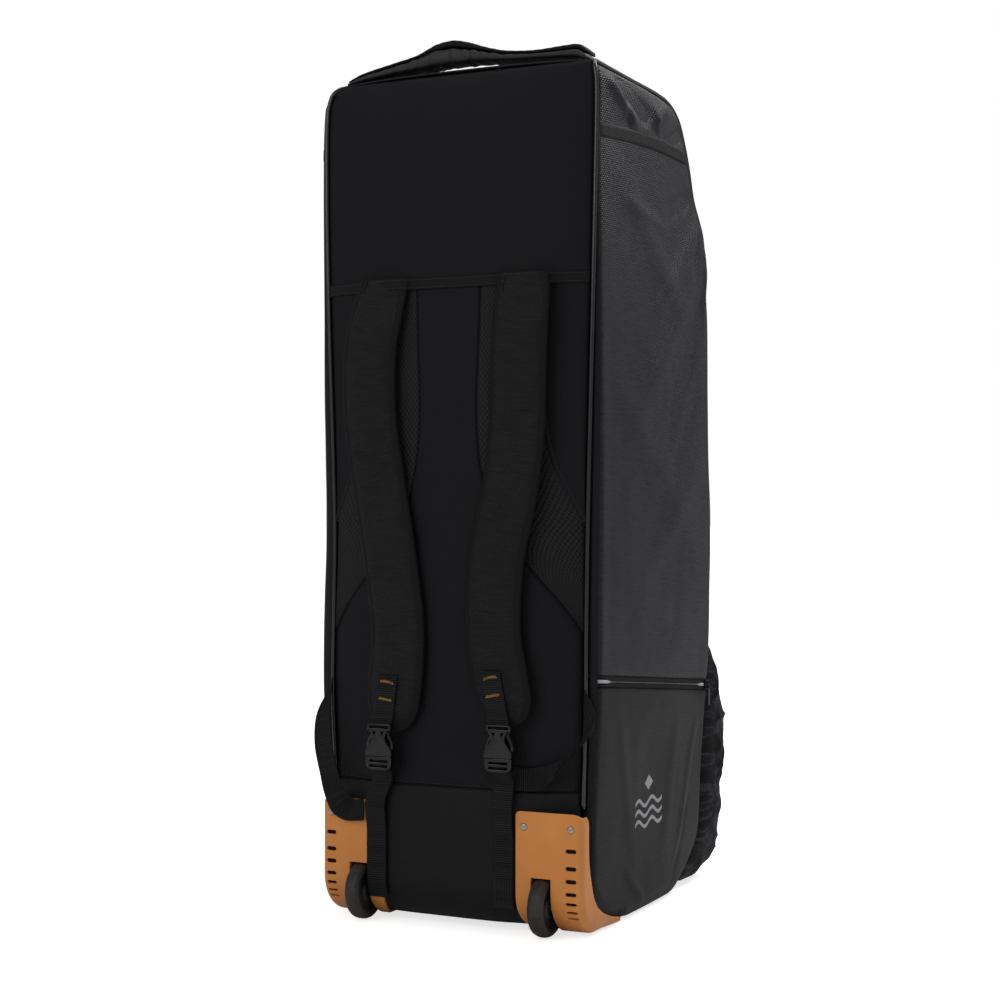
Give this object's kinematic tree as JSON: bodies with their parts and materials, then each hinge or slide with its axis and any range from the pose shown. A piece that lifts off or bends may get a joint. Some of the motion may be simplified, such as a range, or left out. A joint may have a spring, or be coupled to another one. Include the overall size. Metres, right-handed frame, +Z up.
{
  "type": "wheeled_kit_bag",
  "caption": "Tall black wheeled cricket kit bag on its end, with two padded shoulder straps, a zipped side pocket and two wheels in tan corner guards.",
  "frame": {"origin": "on the floor, under the middle of the bag's bounding box", "axes": "+Z up along the standing bag; the back with the shoulder straps faces -Y; +X is the right side as seen from behind it, the side with the zipped lower pocket"},
  "size_m": [0.3646, 0.5084, 1.0073],
  "materials": {
    "back_nylon": "satin",
    "side_nylon": "satin",
    "mesh": "matte",
    "padded_cloth": "matte",
    "webbing": "satin",
    "zip_tape": "matte",
    "buckle_plastic": "satin",
    "guard_plastic": "satin",
    "wheel_plastic": "matte",
    "zinc_and_steel": "satin"
  },
  "bodies": {
    "bag": {"upper_back_panel": "back_nylon", "centre_panel": "back_nylon", "mesh_panel_left": "mesh", "yoke_panel_left": "back_nylon", "mesh_panel_right": "mesh", "yoke_panel_right": "back_nylon", "strap_band": "webbing", "side_panel_left": "side_nylon", "side_panel_right": "side_nylon", "cooler_pocket": "side_nylon", "zip_tape": "zip_tape", "side_crown_left": "side_nylon", "side_tape_left": "side_nylon", "side_crown_right": "side_nylon", "side_tape_right": "side_nylon", "kick_panel": "side_nylon", "base_panel": "side_nylon", "top_panel": "side_nylon", "front_panel": "back_nylon", "front_foot": "back_nylon", "front_pocket": "side_nylon", "main_zip": "zip_tape", "zip_slider": "zinc_and_steel", "zip_pull": "zinc_and_steel", "piping_left": "webbing", "piping_right": "webbing", "top_handle": "padded_cloth", "handle_wrap": "webbing", "strap_pad_left": "padded_cloth", "strap_binding_left": "webbing", "strap_pad_right": "padded_cloth", "strap_binding_right": "webbing", "buckle_socket_left": "buckle_plastic", "buckle_plug_left": "buckle_plastic", "buckle_socket_right": "buckle_plastic", "buckle_plug_right": "buckle_plastic", "strap_tab_left": "webbing", "lower_webbing_left": "webbing", "strap_tab_right": "webbing", "lower_webbing_right": "webbing", "side_loop_right": "webbing", "side_loop_left": "webbing", "corner_guard_right": "guard_plastic", "corner_guard_left": "guard_plastic", "axle_left": "zinc_and_steel", "guard_rivet_left_inner": "zinc_and_steel", "guard_rivet_left_outer": "zinc_and_steel", "axle_right": "zinc_and_steel", "guard_rivet_right_inner": "zinc_and_steel", "guard_rivet_right_outer": "zinc_and_steel"},
    "left_wheel": {"wheel_left": "wheel_plastic"},
    "right_wheel": {"wheel_right": "wheel_plastic"}
  },
  "joints": [
    {"name": "wheel_left_spin", "type": "hinge", "parent": "bag", "child": "left_wheel", "pos_m": [-0.11042, -0.21565, 0.0335], "axis": [1, 0, 0], "continuous": true},
    {"name": "wheel_right_spin", "type": "hinge", "parent": "bag", "child": "right_wheel", "pos_m": [0.11758, -0.21565, 0.0335], "axis": [1, 0, 0], "continuous": true}
  ]
}
